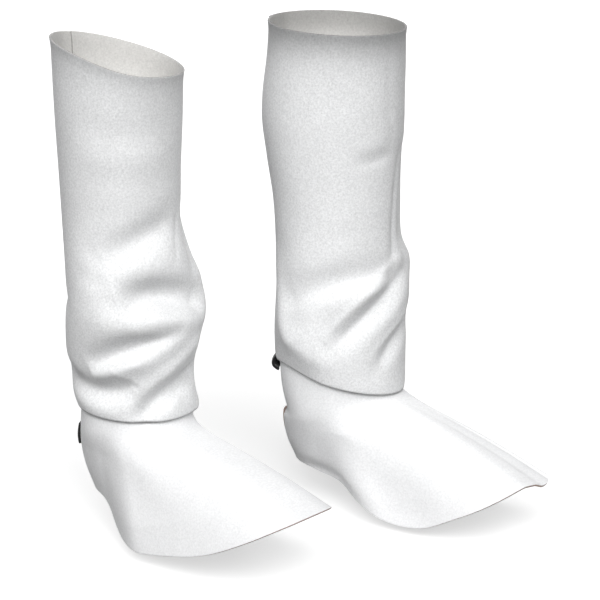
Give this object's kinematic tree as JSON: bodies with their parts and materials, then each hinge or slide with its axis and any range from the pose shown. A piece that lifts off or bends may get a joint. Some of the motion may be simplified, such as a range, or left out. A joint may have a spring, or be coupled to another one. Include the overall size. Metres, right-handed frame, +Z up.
{
  "type": "pair of leather welding spats",
  "caption": "Tall off-white split-leather welding spats in wearing pose: open leg tubes over flared foot pieces that cover instep and toe, closed by black hook-and-loop straps behind the heel.",
  "frame": {"origin": "midway between the two legs at instep height, 125 mm above the soles of the wearer's shoes, where the leg panels' hems meet the insteps", "axes": "+Z up along the legs, -Y the way the wearer faces, +X the wearer's left"},
  "size_m": [0.3268, 0.3862, 0.4635],
  "materials": {
    "leg_leather": "napped off-white split leather",
    "foot_leather": "napped off-white split leather, a little whiter than the leg",
    "strap_webbing": "black woven hook-and-loop tape"
  },
  "bodies": {
    "root": {"leg_panel_right": "leg_leather", "foot_piece_right": "foot_leather", "upper_strap_right": "strap_webbing", "lower_strap_right": "strap_webbing", "leg_panel_left": "leg_leather", "foot_piece_left": "foot_leather", "upper_strap_left": "strap_webbing", "lower_strap_left": "strap_webbing"}
  },
  "joints": []
}
